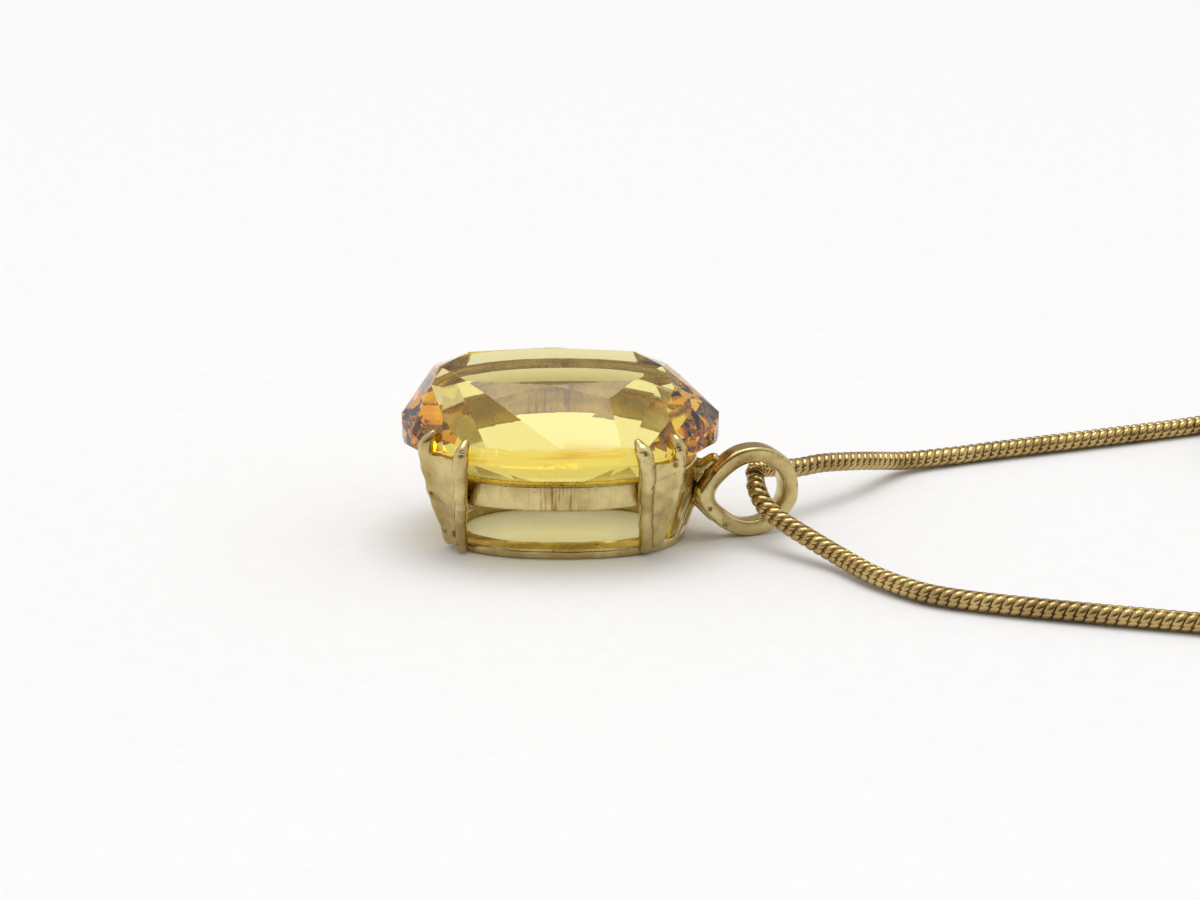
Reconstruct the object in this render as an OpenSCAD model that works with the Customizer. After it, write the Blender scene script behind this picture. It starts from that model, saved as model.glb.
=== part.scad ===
// Pendant necklace: a faceted oval gem in a four-prong gallery setting, a soldered bail ring, and a
// snake chain with end caps, a jump ring, a lobster clasp and a tag ring.
// Frame: +Z up, the pendant lies on its base rail with the gem's table upwards, +X points to the bail
// ring. The origin is on the floor at the middle of the pendant's footprint. Millimetres.

/* [Gem] */
// Length of the gem's girdle
gem_len = 16; // [12:0.5:18]
// Width of the gem's girdle
gem_wid = 12; // [9:0.5:14]
// Height of the table above the floor
table_z = 8.7; // [8.5:0.05:9]
// Height of the top of the girdle
girdle_top = 6.35; // [6:0.05:6.8]
// Height of the bottom of the girdle
girdle_bottom = 5.35; // [5:0.05:5.7]
// Height of the culet, the gem's lowest point
culet_z = 1.05; // [0.8:0.05:2]

/* [Setting] */
// Length of the base rail
base_len = 12.3; // [10:0.1:13]
// Width of the base rail
base_wid = 8.6; // [7:0.1:10]
// Height of the base rail
base_height = 0.5; // [0.4:0.05:1]
// Length of the gallery rail
gallery_len = 13.8; // [12:0.1:15]
// Width of the gallery rail
gallery_wid = 10.4; // [9:0.1:11]
// Height of the gallery rail's lower edge
gallery_z = 2.85; // [2:0.05:3.2]
// Height of the gallery rail's band
gallery_height = 1.35; // [0.8:0.05:1.5]
// Thickness of a prong plate
prong_t = 0.7; // [0.5:0.05:1]

/* [Bail] */
// Outer diameter of the bail ring
ring_od = 5; // [4:0.1:6]
// Radial thickness of the bail ring's wire
ring_radial = 0.9; // [0.7:0.05:1.1]
// Width of the bail ring's wire along its axis
ring_wide = 1.05; // [0.8:0.05:1.3]
// Turn of the bail ring about the vertical
ring_twist = 12; // [0:1:20]

/* [Chain] */
// Diameter of the snake chain
chain_d = 1; // [0.9:0.05:1.1]
// Middle radius of the outermost turn of a coil
coil_r = 7; // [6.5:0.1:7.5]
// Radial width of a coil's turns
coil_wide = 3.2; // [3:0.1:4]
// Thickness of the bands that tie the coils
tie_t = 0.2; // [0.1:0.05:0.3]

/* [Clasp] */
// Thickness of the lobster clasp
clasp_t = 1.6; // [1.4:0.1:2]
// Diameter of the clasp's pin
pin_d = 0.5; // [0.4:0.05:0.6]
// Middle radius of the jump ring and the tag ring
link_r = 1.4; // [1.35:0.05:1.6]
// Wire diameter of the jump ring and the tag ring
link_wire = 0.5; // [0.4:0.05:0.55]
// Opening angle of the clasp's lever
lever_travel = 24; // [10:1:24]

/* [Hidden] */
$fn = 64;
eps = 0.02;

gold = "goldenrod";
chain_gold = "darkgoldenrod";

// The outlines are superellipses; a higher squareness makes the corners fuller.
gem_squareness = 2.13;
base_squareness = 2.4;
gallery_squareness = 2.2;
outline_steps = 64;

// The bail ring stands beside the setting, a little in front of the gem's long axis.
ring_reach = 9.6;
ring_y = -0.6;
// Rightmost point of the ring from the gem's centre, and the shift that centres the footprint.
ring_right = ring_reach + (ring_od - ring_radial) / 2 * cos(ring_twist) + ring_radial / 2 + eps;
gem_x = (gem_len / 2 - ring_right) / 2;
base_shift = 0.2;
rail_t = 0.75;
base_rail_t = 1.0;

// Corners of the table, seen from above.
table = [[5.6, 0], [4.2, 2.5], [0, 3.22], [-4.2, 2.5], [-5.6, 0], [-4.2, -2.5], [0, -3.22], [4.2, -2.5]];
// Tips of the star facets at the gem's ends and along its sides, and their heights below the table.
star_ends = [[6, 1.6], [-6, 1.6], [-6, -1.6], [6, -1.6]];
star_end_drop = 0.45;
star_sides = [[2.85, 3.8], [-2.85, 3.8], [-2.85, -3.8], [2.85, -3.8]];
star_side_drop = 0.55;
// The cutter ground the crown a little off the middle of the girdle.
crown_shift = [-0.45, 0.28, 0];
// The pavilion's long sides meet in a short keel.
keel = 4;

// The chain runs from the middle of the bail ring. These are its two routes on the way to the coils,
// picked by hand: through the ring, down to the floor and then along the floor.
axle = [7.85, -0.6, 2.95];
floor_z = chain_d / 2 + eps;
front_coil = [46, -11.5];
back_coil = [42.5, 11.5];
route_front = [
  axle, [7.83, -1.5, 2.75], [8.2, -2.4, 2.15], [8.9, -3.2, 1.7], [10.1, -4.4, 1.25],
  [11.7, -6, 0.75], [13.1, -8.1, 0.6], [14.55, -9.7, 0.54], [16.05, -10.85, floor_z],
  [18.8, -11.95, floor_z], [23.4, -13.3, floor_z], [27.9, -14.5, floor_z],
  [32.5, -15.8, floor_z], [39, -17.8, 0.6], [46, -18.5, 0.72]
];
route_back = [
  axle, [7.9, 0.4, 3.05], [8.7, 1.6, 2.8], [10.05, 2.7, 2.4], [11.6, 3.9, 2.25],
  [13.5, 5.6, 1.77], [14.95, 7.3, 1.2], [16.5, 8.9, 0.66], [19.2, 10.1, floor_z],
  [21.85, 11.1, floor_z], [27.6, 13.1, floor_z], [33.5, 15.3, floor_z],
  [37.5, 17.3, 0.6], [42.5, 18.5, 0.72]
];
// From the top of each coil down to its end cap. The ends point at each other along Y.
end_z = clasp_t / 2;
coil_top_z = tie_t + 1.5 * chain_d;
clasp_x = front_coil.x + coil_r;
tag_x = back_coil.x + coil_r;
cap_front_y = -7.2;
cap_back_y = 7.2;
cap_len = 2.8;
cap_d = 1.6;
cap_bore_d = 1.1;
cap_bore_len = 1.8;
end_front = [
  [clasp_x, front_coil.y, coil_top_z], [clasp_x, -9.6, 1.5], [clasp_x, -8.3, 1.05],
  [clasp_x, cap_front_y, end_z], [clasp_x, cap_front_y + cap_bore_len - 0.1, end_z]
];
end_back = [
  [tag_x, back_coil.y, coil_top_z], [tag_x, 9.6, 1.5], [tag_x, 8.3, 1.05],
  [tag_x, cap_back_y, end_z], [tag_x, cap_back_y - cap_bore_len + 0.1, end_z]
];

// Eyes are small flat-lying rings that the links pass through; a link stands on the floor in them.
eye_wire = 0.45;
eye_r = 0.775;
link_z = link_r + link_wire / 2;
link_reach = sqrt(link_r * link_r - (link_z - end_z) * (link_z - end_z));
eye_front_y = cap_front_y + cap_len + 0.9;
eye_back_y = cap_back_y - cap_len - 0.9;
jump_y = eye_front_y + link_reach;
clasp_y = jump_y + link_reach;
tag_y = eye_back_y - link_reach;

// Lobster clasp in its own plane: its eye is at the origin and the hook points along +Y.
hook_y = 5;
hook_or = 2.2;
hook_ir = 1.25;
pivot = [1.35, 3.15];
gate_r = 2.8;
mouth_r = 2.9;
lever_t = clasp_t / 2;
slot_t = lever_t + 0.1;

// ---- helpers ----

function oval(len, wid, n) = [
  for (i = [0:outline_steps - 1])
    let (t = 360 * i / outline_steps)
    [
      len / 2 * sign(cos(t)) * pow(abs(cos(t)), 2 / n),
      wid / 2 * sign(sin(t)) * pow(abs(sin(t)), 2 / n)
    ]
];

function unit(v) = v / norm(v);

function catmull(p, i, t) =
  let (
    n = len(p) - 1,
    a = p[max(i - 1, 0)], b = p[i], c = p[min(i + 1, n)], d = p[min(i + 2, n)]
  )
  0.5 * (2 * b + (c - a) * t + (2 * a - 5 * b + 4 * c - d) * t * t + (3 * b - a - 3 * c + d) * t * t * t);

// The route with a point added halfway along each stretch.
function smooth_route(p) = [
  for (i = [0:len(p) - 2]) each [p[i], catmull(p, i, 0.5)],
  p[len(p) - 1]
];

function heading(p, i) = unit(p[min(i + 1, len(p) - 1)] - p[max(i - 1, 0)]);

// One ring of a tube's points round the route's point i. up is a direction the route never takes.
function tube_ring(p, i, d, sides, up) =
  let (h = heading(p, i), u = unit(cross(h, up)), v = cross(u, h))
  [for (k = [0:sides - 1]) let (t = 360 * (k + 0.5) / sides) p[i] + d / 2 * (cos(t) * u + sin(t) * v)];

module tube(route, d, sides = 8) {
  n = len(route);
  points = [for (i = [0:n - 1]) each tube_ring(route, i, d, sides, [0, 0, 1])];
  walls = [
    for (i = [0:n - 2], k = [0:sides - 1])
      [
        i * sides + k, i * sides + (k + 1) % sides,
        (i + 1) * sides + (k + 1) % sides, (i + 1) * sides + k
      ]
  ];
  first = [[for (k = [sides - 1:-1:0]) k]];
  last = [[for (k = [0:sides - 1]) (n - 1) * sides + k]];
  polyhedron(points = points, faces = concat(first, walls, last), convexity = 4);
}

module torus(r, wire) {
  rotate_extrude($fn = 48)
    translate([r, 0])
      circle(d = wire, $fn = 24);
}

// A flat band that follows an oval outline.
module rail(length, width, n, thickness, height) {
  linear_extrude(height)
    difference() {
      polygon(oval(length, width, n));
      polygon(oval(length - 2 * thickness, width - 2 * thickness, n));
    }
}

// ---- gem and setting, measured from the gem's centre ----

// One height of the crown.
module crown_level(points, z) {
  translate(crown_shift + [0, 0, z - 0.02])
    linear_extrude(0.02)
      polygon(points);
}

module gem() {
  color("khaki", 0.6)
    translate([gem_x, 0, 0])
      hull() {
        crown_level(table, table_z);
        crown_level(star_ends, table_z - star_end_drop);
        crown_level(star_sides, table_z - star_side_drop);
        translate([0, 0, girdle_bottom])
          linear_extrude(girdle_top - girdle_bottom)
            polygon(oval(gem_len, gem_wid, gem_squareness));
        translate([-keel / 2, -0.05, culet_z])
          cube([keel, 0.1, 0.1]);
      }
}

module gallery_rail() {
  color(gold)
    translate([gem_x, 0, gallery_z])
      rail(gallery_len, gallery_wid, gallery_squareness, rail_t, gallery_height);
}

module base_rail() {
  color(gold)
    translate([gem_x + base_shift, 0, 0])
      rail(base_len, base_wid, base_squareness, base_rail_t, base_height);
}

module ball(p, d) {
  translate(p)
    sphere(d = d, $fn = 16);
}

module post(p, height) {
  translate(p)
    cylinder(d = prong_t, h = height, $fn = 16);
}

// A claw rises from the plate's shoulder, passes the girdle and bends over the crown to its tip.
module claw(shoulder, bend, tip) {
  hull() {
    ball(shoulder, prong_t);
    ball(bend, prong_t * 0.9);
  }
  hull() {
    ball(bend, prong_t * 0.9);
    ball(tip, prong_t * 0.6);
  }
}

// A prong is a plate that narrows downwards, with two claws and a notch between them.
module prong(foot_in, foot_out, top_in, top_out, bend_in, bend_out, tip_in, tip_out) {
  translate([gem_x, 0, 0]) {
    hull() {
      post(foot_in, 0.3);
      post(foot_out, 0.3);
      ball(top_in, prong_t);
      ball(top_out, prong_t);
    }
    claw(top_in, bend_in, tip_in);
    claw(top_out, bend_out, tip_out);
  }
}

module left_prong() {
  prong(
    [-4.95, -2.95, 0], [-5.6, -2.3, 0.45], [-4.95, -4.95, 5], [-6.65, -3.75, 5],
    [-4.95, -5.25, 6], [-6.55, -4.05, 6.1], [-4.85, -4.85, 6.75], [-6.3, -3.8, 6.75]
  );
}

module right_prong() {
  prong(
    [4.2, -3.35, 0], [4.75, -2.95, 0.2], [4.1, -5.15, 5], [5.85, -4.2, 5],
    [4.05, -5.5, 6], [5.85, -4.6, 6.05], [4, -5.1, 6.7], [5.7, -4.25, 6.75]
  );
}

module prong_front_left() {
  color(gold) left_prong();
}

module prong_front_right() {
  color(gold) right_prong();
}

module prong_back_left() {
  color(gold) mirror([0, 1, 0]) left_prong();
}

module prong_back_right() {
  color(gold) mirror([0, 1, 0]) right_prong();
}

// A bar of the neck: an upright rounded slab from z0 to z1.
module slab(x, y, z0, z1, t) {
  translate([x, y, z0])
    cylinder(d = t, h = z1 - z0, $fn = 20);
}

// The neck joins the ring's two shoulders to the end of the gallery rail and, by a foot, to the base.
module bail_neck() {
  color(gold)
    translate([gem_x, 0, 0]) {
      hull() {
        slab(7.35, ring_y + 0.1, 1.5, 3.45, 0.9);
        slab(6.55, -0.1, 1.35, 4.05, 1);
      }
      hull() {
        slab(6.55, -0.1, 1.35, 2.2, 1);
        slab(5.95, 0, 0.1, 0.7, 0.8);
      }
      hull() {
        ball([7.2, ring_y + 0.1, 3.2], 0.8);
        ball([8, ring_y, 4.1], 0.75);
      }
      hull() {
        ball([7.2, ring_y + 0.1, 1.7], 0.8);
        ball([8, ring_y, 0.9], 0.75);
      }
    }
}

module bail_ring() {
  corner = 0.25;
  color(gold)
    translate([gem_x + ring_reach, ring_y, ring_od / 2])
      rotate([90, 0, ring_twist])
        rotate_extrude($fn = 96)
          translate([ring_od / 2 - ring_radial, -ring_wide / 2]) {
            translate([corner, 0])
              square([ring_radial - 2 * corner, ring_wide]);
            translate([0, corner])
              square([ring_radial, ring_wide - 2 * corner]);
            for (x = [corner, ring_radial - corner], y = [corner, ring_wide - corner])
              translate([x, y])
                circle(r = corner, $fn = 24);
          }
}

// ---- chain, coils and ties ----

module chain_front() {
  color(chain_gold) {
    tube(smooth_route(route_front), chain_d);
    tube(end_front, chain_d);
  }
}

module chain_back() {
  color(chain_gold) {
    tube(smooth_route(route_back), chain_d);
    tube(end_back, chain_d);
  }
}

// The outer shape of a coil: its turns lie side by side in two layers.
module coil(centre) {
  wide = coil_wide;
  corner = chain_d / 2;
  translate([centre.x, centre.y, tie_t])
    rotate_extrude($fn = 96)
      translate([coil_r + chain_d / 2 - wide, 0]) {
        translate([corner, 0])
          square([wide - 2 * corner, 2 * chain_d]);
        translate([0, corner])
          square([wide, 2 * chain_d - 2 * corner]);
        for (x = [corner, wide - corner], y = [corner, 2 * chain_d - corner])
          translate([x, y])
            circle(r = corner, $fn = 24);
      }
}

module coil_front() {
  color(chain_gold) coil(front_coil);
}

module coil_back() {
  color(chain_gold) coil(back_coil);
}

// Flat bands round a coil's turns, at two places opposite each other.
module ties(centre, angle) {
  wide = coil_wide;
  band = 1.2;
  for (a = [angle, angle + 180])
    translate([centre.x, centre.y, 0])
      rotate([0, 0, a])
        translate([coil_r + chain_d / 2 - wide - tie_t, -band / 2, 0])
          difference() {
            cube([wide + 2 * tie_t, band, 2 * chain_d + 2 * tie_t]);
            translate([tie_t, -1, tie_t])
              cube([wide, band + 2, 2 * chain_d]);
          }
}

module ties_front() {
  color("whitesmoke") ties(front_coil, 135);
}

module ties_back() {
  color("whitesmoke") ties(back_coil, 45);
}

// ---- end caps, links and clasp ----

// A cap holds the chain's end in a blind bore and carries a flat-lying eye. It points along +Y.
module end_cap() {
  rotate([-90, 0, 0])
    difference() {
      cylinder(d = cap_d, h = cap_len);
      translate([0, 0, -1])
        cylinder(d = cap_bore_d, h = cap_bore_len + 1);
    }
  translate([0, cap_len + 0.9, 0])
    torus(eye_r, eye_wire);
}

module end_cap_front() {
  color(chain_gold)
    translate([clasp_x, cap_front_y, end_z])
      end_cap();
}

module end_cap_back() {
  color(chain_gold)
    translate([tag_x, cap_back_y, end_z])
      mirror([0, 1, 0])
        end_cap();
}

module link() {
  rotate([0, 90, 0])
    torus(link_r, link_wire);
}

module jump_ring() {
  color(chain_gold)
    translate([clasp_x, jump_y, link_z])
      link();
}

module tag_ring() {
  color(chain_gold)
    translate([tag_x, tag_y, link_z])
      link();
}

// A wedge from the hook's centre between two directions.
module wedge(from, to, r) {
  polygon([
    [0, 0],
    for (k = [0:6]) let (a = from + (to - from) * k / 6) [r * cos(a), r * sin(a)]
  ]);
}

// The lever's outline. slack makes it larger, for the slot it moves in.
module lever_outline(slack = 0) {
  intersection() {
    translate([0, hook_y])
      difference() {
        circle(r = hook_or - 0.05 + slack);
        circle(r = hook_ir + 0.1 - slack);
      }
    translate([0, hook_y])
      wedge(-72, 95, 4);
    translate(pivot)
      circle(r = gate_r + slack);
  }
  translate(pivot)
    circle(r = 0.55 + slack);
  translate([2.2, 4.4])
    circle(r = 0.5 + slack);
}

module body_outline() {
  difference() {
    union() {
      translate([0, hook_y])
        circle(r = hook_or);
      polygon([[-0.5, 0.75], [0.5, 0.75], [1.5, 1.9], [1.95, 2.9], [2, 4], [-1.9, 4], [-1.4, 2.4]]);
    }
    translate([0, hook_y])
      circle(r = hook_ir);
    intersection() {
      translate([0, hook_y])
        wedge(-30, 95, 4);
      translate(pivot)
        circle(r = mouth_r);
    }
  }
}

module clasp_body() {
  color(chain_gold)
    translate([clasp_x, clasp_y, end_z]) {
      torus(eye_r, eye_wire);
      translate([0, 0, -clasp_t / 2])
        difference() {
          linear_extrude(clasp_t)
            body_outline();
          translate([0, 0, (clasp_t - slot_t) / 2])
            linear_extrude(slot_t) {
              for (a = [0:6:lever_travel])
                translate(pivot)
                  rotate([0, 0, a])
                    translate(-pivot)
                      lever_outline(0.06);
              translate([0.1, 2.2])
                circle(r = 0.6);
            }
          translate([pivot.x, pivot.y, -1])
            cylinder(d = pin_d, h = clasp_t + 2, $fn = 32);
        }
    }
}

module clasp_lever() {
  color(chain_gold)
    translate([clasp_x, clasp_y, end_z - lever_t / 2])
      difference() {
        linear_extrude(lever_t)
          lever_outline();
        translate([pivot.x, pivot.y, -1])
          cylinder(d = pin_d + 0.06, h = lever_t + 2, $fn = 32);
      }
}

module clasp_pin() {
  color("silver")
    translate([clasp_x + pivot.x, clasp_y + pivot.y, end_z - clasp_t / 2])
      cylinder(d = pin_d, h = clasp_t, $fn = 32);
}

// A flat spring curled in its pocket, with a tail that bears on the lever's heel.
module clasp_spring() {
  height = 0.6;
  color("silver")
    translate([clasp_x, clasp_y, end_z - height / 2])
      linear_extrude(height)
        translate([0.1, 2.2]) {
          difference() {
            circle(r = 0.5);
            circle(r = 0.38);
            wedge(0, 50, 1);
          }
          rotate([0, 0, 50])
            translate([0.38, 0])
              square([0.35, 0.1]);
        }
}

gem();
gallery_rail();
base_rail();
prong_front_left();
prong_front_right();
prong_back_left();
prong_back_right();
bail_neck();
bail_ring();
chain_front();
chain_back();
coil_front();
coil_back();
ties_front();
ties_back();
end_cap_front();
end_cap_back();
jump_ring();
clasp_body();
clasp_lever();
clasp_pin();
clasp_spring();
tag_ring();
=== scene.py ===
# %% [markdown]
# # A pendant necklace
# A large pale yellow gem sits in a cast four-prong setting. A ring soldered to the setting's end
# hangs on a snake chain. This lesson builds the pieces one after another: first the camera and the
# chain, then the gem, the setting, the bail, the fittings, and last the floor and the light.
#
# The small numbers are easier to read in millimetres, so MM turns them into metres.

import math

import bmesh
import bpy
from mathutils import Matrix, Vector, noise


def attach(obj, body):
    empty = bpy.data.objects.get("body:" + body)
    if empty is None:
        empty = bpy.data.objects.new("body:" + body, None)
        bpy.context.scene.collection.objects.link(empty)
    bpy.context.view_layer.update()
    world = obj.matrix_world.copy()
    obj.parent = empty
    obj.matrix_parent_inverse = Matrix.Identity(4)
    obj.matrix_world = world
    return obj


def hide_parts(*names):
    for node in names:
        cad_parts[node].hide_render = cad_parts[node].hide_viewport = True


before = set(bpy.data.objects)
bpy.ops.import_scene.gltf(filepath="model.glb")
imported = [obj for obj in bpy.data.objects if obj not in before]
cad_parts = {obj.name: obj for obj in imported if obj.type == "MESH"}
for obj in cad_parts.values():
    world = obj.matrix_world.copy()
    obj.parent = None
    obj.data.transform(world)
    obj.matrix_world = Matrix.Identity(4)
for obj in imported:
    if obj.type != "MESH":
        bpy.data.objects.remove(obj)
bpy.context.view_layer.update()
MM = 0.001
print("nodes", len(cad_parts))


def mm(*values):
    return Vector(v * MM for v in values)


# %% [markdown]
# ## Camera
# The pendant was looked at from a low angle in front of it, from far away with a long lens, so that
# near and far parts keep nearly the same size.

# %%
# Camera
# The gem's centre stands a little to the left of the frame's origin.
GEM_X = -2.0376

camera_data = bpy.data.cameras.new("camera")
camera_data.lens = 96
camera_data.sensor_width = 36
camera_data.clip_start = 0.01
camera_data.clip_end = 10
camera = bpy.data.objects.new("camera", camera_data)
camera.location = mm(GEM_X, -153.642, 55.921)
camera.rotation_euler = (math.radians(90 - 18.563), 0, math.radians(-0.745))
bpy.context.scene.collection.objects.link(camera)
bpy.context.scene.camera = camera

# %% [markdown]
# ## Helpers
# Every piece is made as a bmesh and turned into an object once. The class Nodes writes a material's
# nodes in a few short calls: noise, ramps, bumps and the final shader.

# %%
# Helpers that every piece uses


def add_mesh(name, bm, materials, smooth=True):
    """Turns a bmesh into an object in the row frame, with its faces pointing outwards."""
    bmesh.ops.recalc_face_normals(bm, faces=bm.faces)
    mesh = bpy.data.meshes.new(name)
    bm.to_mesh(mesh)
    bm.free()
    for material in materials:
        mesh.materials.append(material)
    if smooth:
        mesh.shade_smooth()
    obj = bpy.data.objects.new(name, mesh)
    bpy.context.scene.collection.objects.link(obj)
    return obj


class Nodes:
    """A short way to write a material's nodes."""

    def __init__(self, name):
        self.material = bpy.data.materials.new(name)
        self.material.use_nodes = True
        self.tree = self.material.node_tree
        self.tree.nodes.clear()
        self.output = self.tree.nodes.new("ShaderNodeOutputMaterial")

    def add(self, kind):
        return self.tree.nodes.new("ShaderNode" + kind)

    def link(self, a, b):
        self.tree.links.new(a, b)

    def coordinates(self):
        return self.add("TexCoord").outputs["Object"]

    def noise(self, scale, detail=3, roughness=0.5, vector=None, distortion=0):
        node = self.add("TexNoise")
        node.inputs["Scale"].default_value = scale
        node.inputs["Detail"].default_value = detail
        node.inputs["Roughness"].default_value = roughness
        node.inputs["Distortion"].default_value = distortion
        self.link(vector or self.coordinates(), node.inputs["Vector"])
        return node.outputs["Fac"]

    def ramp(self, fac, stops):
        node = self.add("ValToRGB")
        elements = node.color_ramp.elements
        while len(elements) < len(stops):
            elements.new(0.5)
        for element, (position, color) in zip(elements, stops):
            element.position = position
            element.color = (*color, 1) if len(color) == 3 else color
        self.link(fac, node.inputs["Fac"])
        return node.outputs["Color"]

    def fit(self, value, low, high, to_low, to_high):
        node = self.add("MapRange")
        limits = {"From Min": low, "From Max": high, "To Min": to_low, "To Max": to_high}
        for key, number in limits.items():
            node.inputs[key].default_value = number
        self.link(value, node.inputs["Value"])
        return node.outputs["Result"]

    def math(self, operation, a, b):
        node = self.add("Math")
        node.operation = operation
        for socket, value in zip(node.inputs, (a, b)):
            if isinstance(value, bpy.types.NodeSocket):
                self.link(value, socket)
            else:
                socket.default_value = value
        return node.outputs["Value"]

    def multiplied(self, a, b, amount=1.0):
        """Colour a times colour b; amount, a number or a socket, says how far b acts."""
        node = self.add("Mix")
        node.data_type = "RGBA"
        node.blend_type = "MULTIPLY"
        if isinstance(amount, bpy.types.NodeSocket):
            self.link(amount, node.inputs[0])
        else:
            node.inputs[0].default_value = amount
        self.link(a, node.inputs[6])
        self.link(b, node.inputs[7])
        return node.outputs[2]

    def axis(self, name):
        node = self.add("SeparateXYZ")
        self.link(self.coordinates(), node.inputs["Vector"])
        return node.outputs[name]

    def stretched(self, scale):
        node = self.add("Mapping")
        node.inputs["Scale"].default_value = scale
        self.link(self.coordinates(), node.inputs["Vector"])
        return node.outputs["Vector"]

    def distance_from(self, axis, place):
        """How far a point is from a place on one axis, on either side of it."""
        return self.math("ABSOLUTE", self.math("SUBTRACT", self.axis(axis), place), 0)

    def bump(self, height, distance, strength=1.0, normal=None):
        node = self.add("Bump")
        node.inputs["Distance"].default_value = distance
        node.inputs["Strength"].default_value = strength
        self.link(height, node.inputs["Height"])
        if normal:
            self.link(normal, node.inputs["Normal"])
        return node.outputs["Normal"]

    def principled(self, color=None, roughness=None, normal=None, **values):
        node = self.add("BsdfPrincipled")
        for key, value in (("Base Color", color), ("Roughness", roughness)):
            if isinstance(value, bpy.types.NodeSocket):
                self.link(value, node.inputs[key])
            elif value is not None:
                node.inputs[key].default_value = (*value, 1) if key == "Base Color" else value
        if normal:
            self.link(normal, node.inputs["Normal"])
        for key, value in values.items():
            node.inputs[key.replace("_", " ")].default_value = value
        self.link(node.outputs["BSDF"], self.output.inputs["Surface"])
        return node


# %% [markdown]
# ## Metals
# The setting is cast in a pale gold and then tumbled, which leaves it bright but slightly uneven: soft
# waves, fine pits and hairline scratches. The chain is a deeper, warmer yellow gold, drawn and plated.

# %%
# Setting gold
PITS_PER_METRE = 2600
WAVES_PER_METRE = 420
WAVE_DEPTH = 0.03 * MM
PIT_DEPTH = 0.006 * MM
SCRATCH_DEPTH = 0.003 * MM
FILE_MARK_DEPTH = 0.012 * MM
SCRATCHES = (9000, 9000, 260)
FILE_MARKS = (7000, 7000, 500)
BLACK = (0, 0, 0)
WHITE = (1, 1, 1)
STAIN_BROWN = (0.35, 0.25, 0.15)
FILED_BROWN = (0.42, 0.30, 0.16)
SETTING_GOLD = (0.66, 0.54, 0.25)
SETTING_DARK = (0.44, 0.32, 0.13)
CHAIN_GOLD = (0.57, 0.42, 0.17)
CHAIN_DARK = (0.38, 0.26, 0.10)
# The filed patch: the place of its middle, its ragged edge, and where it starts and stops fading.
FILED_X = -2.4 * MM
FILED_RAGGED = 1.2 * MM
FILED_FULL = 1.1 * MM
FILED_END = 2.3 * MM


def cast_surface(n, base, dark):
    """What all the cast gold shares: its blotches, colour, grain and pits."""
    blotch = n.noise(WAVES_PER_METRE, 4, 0.6)
    color = n.ramp(blotch, [(0.36, dark), (0.6, base)])
    grain = n.noise(PITS_PER_METRE, 3, 0.6)
    pit = n.ramp(grain, [(0.30, BLACK), (0.38, WHITE)])
    return blotch, color, grain, pit


def cast_gold(name, base, dark, roughness=0.16, pit_depth=PIT_DEPTH, scratched=True):
    """Cast and tumbled gold. base and dark are its bright and its duller colour."""
    n = Nodes(name)
    blotch, color, grain, pit = cast_surface(n, base, dark)
    bumps = n.bump(pit, pit_depth, 0.7, n.bump(blotch, WAVE_DEPTH, 0.6))
    if scratched:
        lines = n.noise(1, 2, 0.5, n.stretched(SCRATCHES))
        bumps = n.bump(lines, SCRATCH_DEPTH, 0.5, bumps)
        specks = n.noise(PITS_PER_METRE * 0.6, 2, 0.5)
        stain = n.ramp(specks, [(0.27, STAIN_BROWN), (0.34, WHITE)])
        color = n.multiplied(color, stain)
    rough = n.fit(grain, 0.3, 0.7, roughness * 0.7, roughness * 1.5)
    n.principled(color, rough, bumps, Metallic=1.0)
    return n.material


def filed_gold():
    """The gallery rail's gold, with a patch of upright file marks in the middle of its front."""
    n = Nodes("filed_gold")
    blotch, color, grain, pit = cast_surface(n, SETTING_GOLD, SETTING_DARK)
    lines = n.noise(1, 3, 0.6, n.stretched(FILE_MARKS))
    marks = n.ramp(lines, [(0.36, FILED_BROWN), (0.5, WHITE)])
    ragged = n.math("MULTIPLY", blotch, FILED_RAGGED)
    aside = n.math("ADD", n.distance_from("X", FILED_X), ragged)
    filed = n.fit(aside, FILED_FULL, FILED_END, 0.85, 0.1)
    color = n.multiplied(color, marks, filed)
    bumps = n.bump(pit, PIT_DEPTH, 0.7, n.bump(blotch, WAVE_DEPTH, 0.6))
    bumps = n.bump(lines, FILE_MARK_DEPTH, 0.6, bumps)
    n.principled(color, n.fit(grain, 0.3, 0.7, 0.16, 0.34), bumps, Metallic=1.0)
    return n.material


rail_gold = filed_gold()
setting_gold = cast_gold("setting_gold", SETTING_GOLD, SETTING_DARK, 0.2)
chain_gold = cast_gold("chain_gold", CHAIN_GOLD, CHAIN_DARK, 0.18, 0.003 * MM, False)

# %% [markdown]
# ## The chain's route
# A snake chain is limp. It drops out of the bail ring on both sides, touches down after a centimetre
# and then lies where it falls. Its unseen length is wound into two flat coils. The same points as in
# the solid model give the route, in metres.

# %%
# Route of the chain
CHAIN_D = 1.0 * MM
COIL_R = 7.0 * MM
TIE_T = 0.2 * MM
FLOOR_Z = 0.52 * MM
AXLE = (0.00785, -0.0006, 0.00295)
FRONT_COIL = Vector((0.046, -0.0115, 0))
BACK_COIL = Vector((0.0425, 0.0115, 0))
ROUTE_FRONT = [
    AXLE, (0.00783, -0.0015, 0.00275), (0.0082, -0.0024, 0.00215), (0.0089, -0.0032, 0.0017),
    (0.0101, -0.0044, 0.00125), (0.0117, -0.006, 0.00075), (0.0131, -0.0081, 0.0006),
    (0.01455, -0.0097, 0.00054), (0.01605, -0.01085, FLOOR_Z), (0.0188, -0.01195, FLOOR_Z),
    (0.0234, -0.0133, FLOOR_Z), (0.0279, -0.0145, FLOOR_Z), (0.0325, -0.0158, FLOOR_Z),
    (0.039, -0.0178, 0.0006), (0.046, -0.0185, 0.00072),
]
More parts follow.
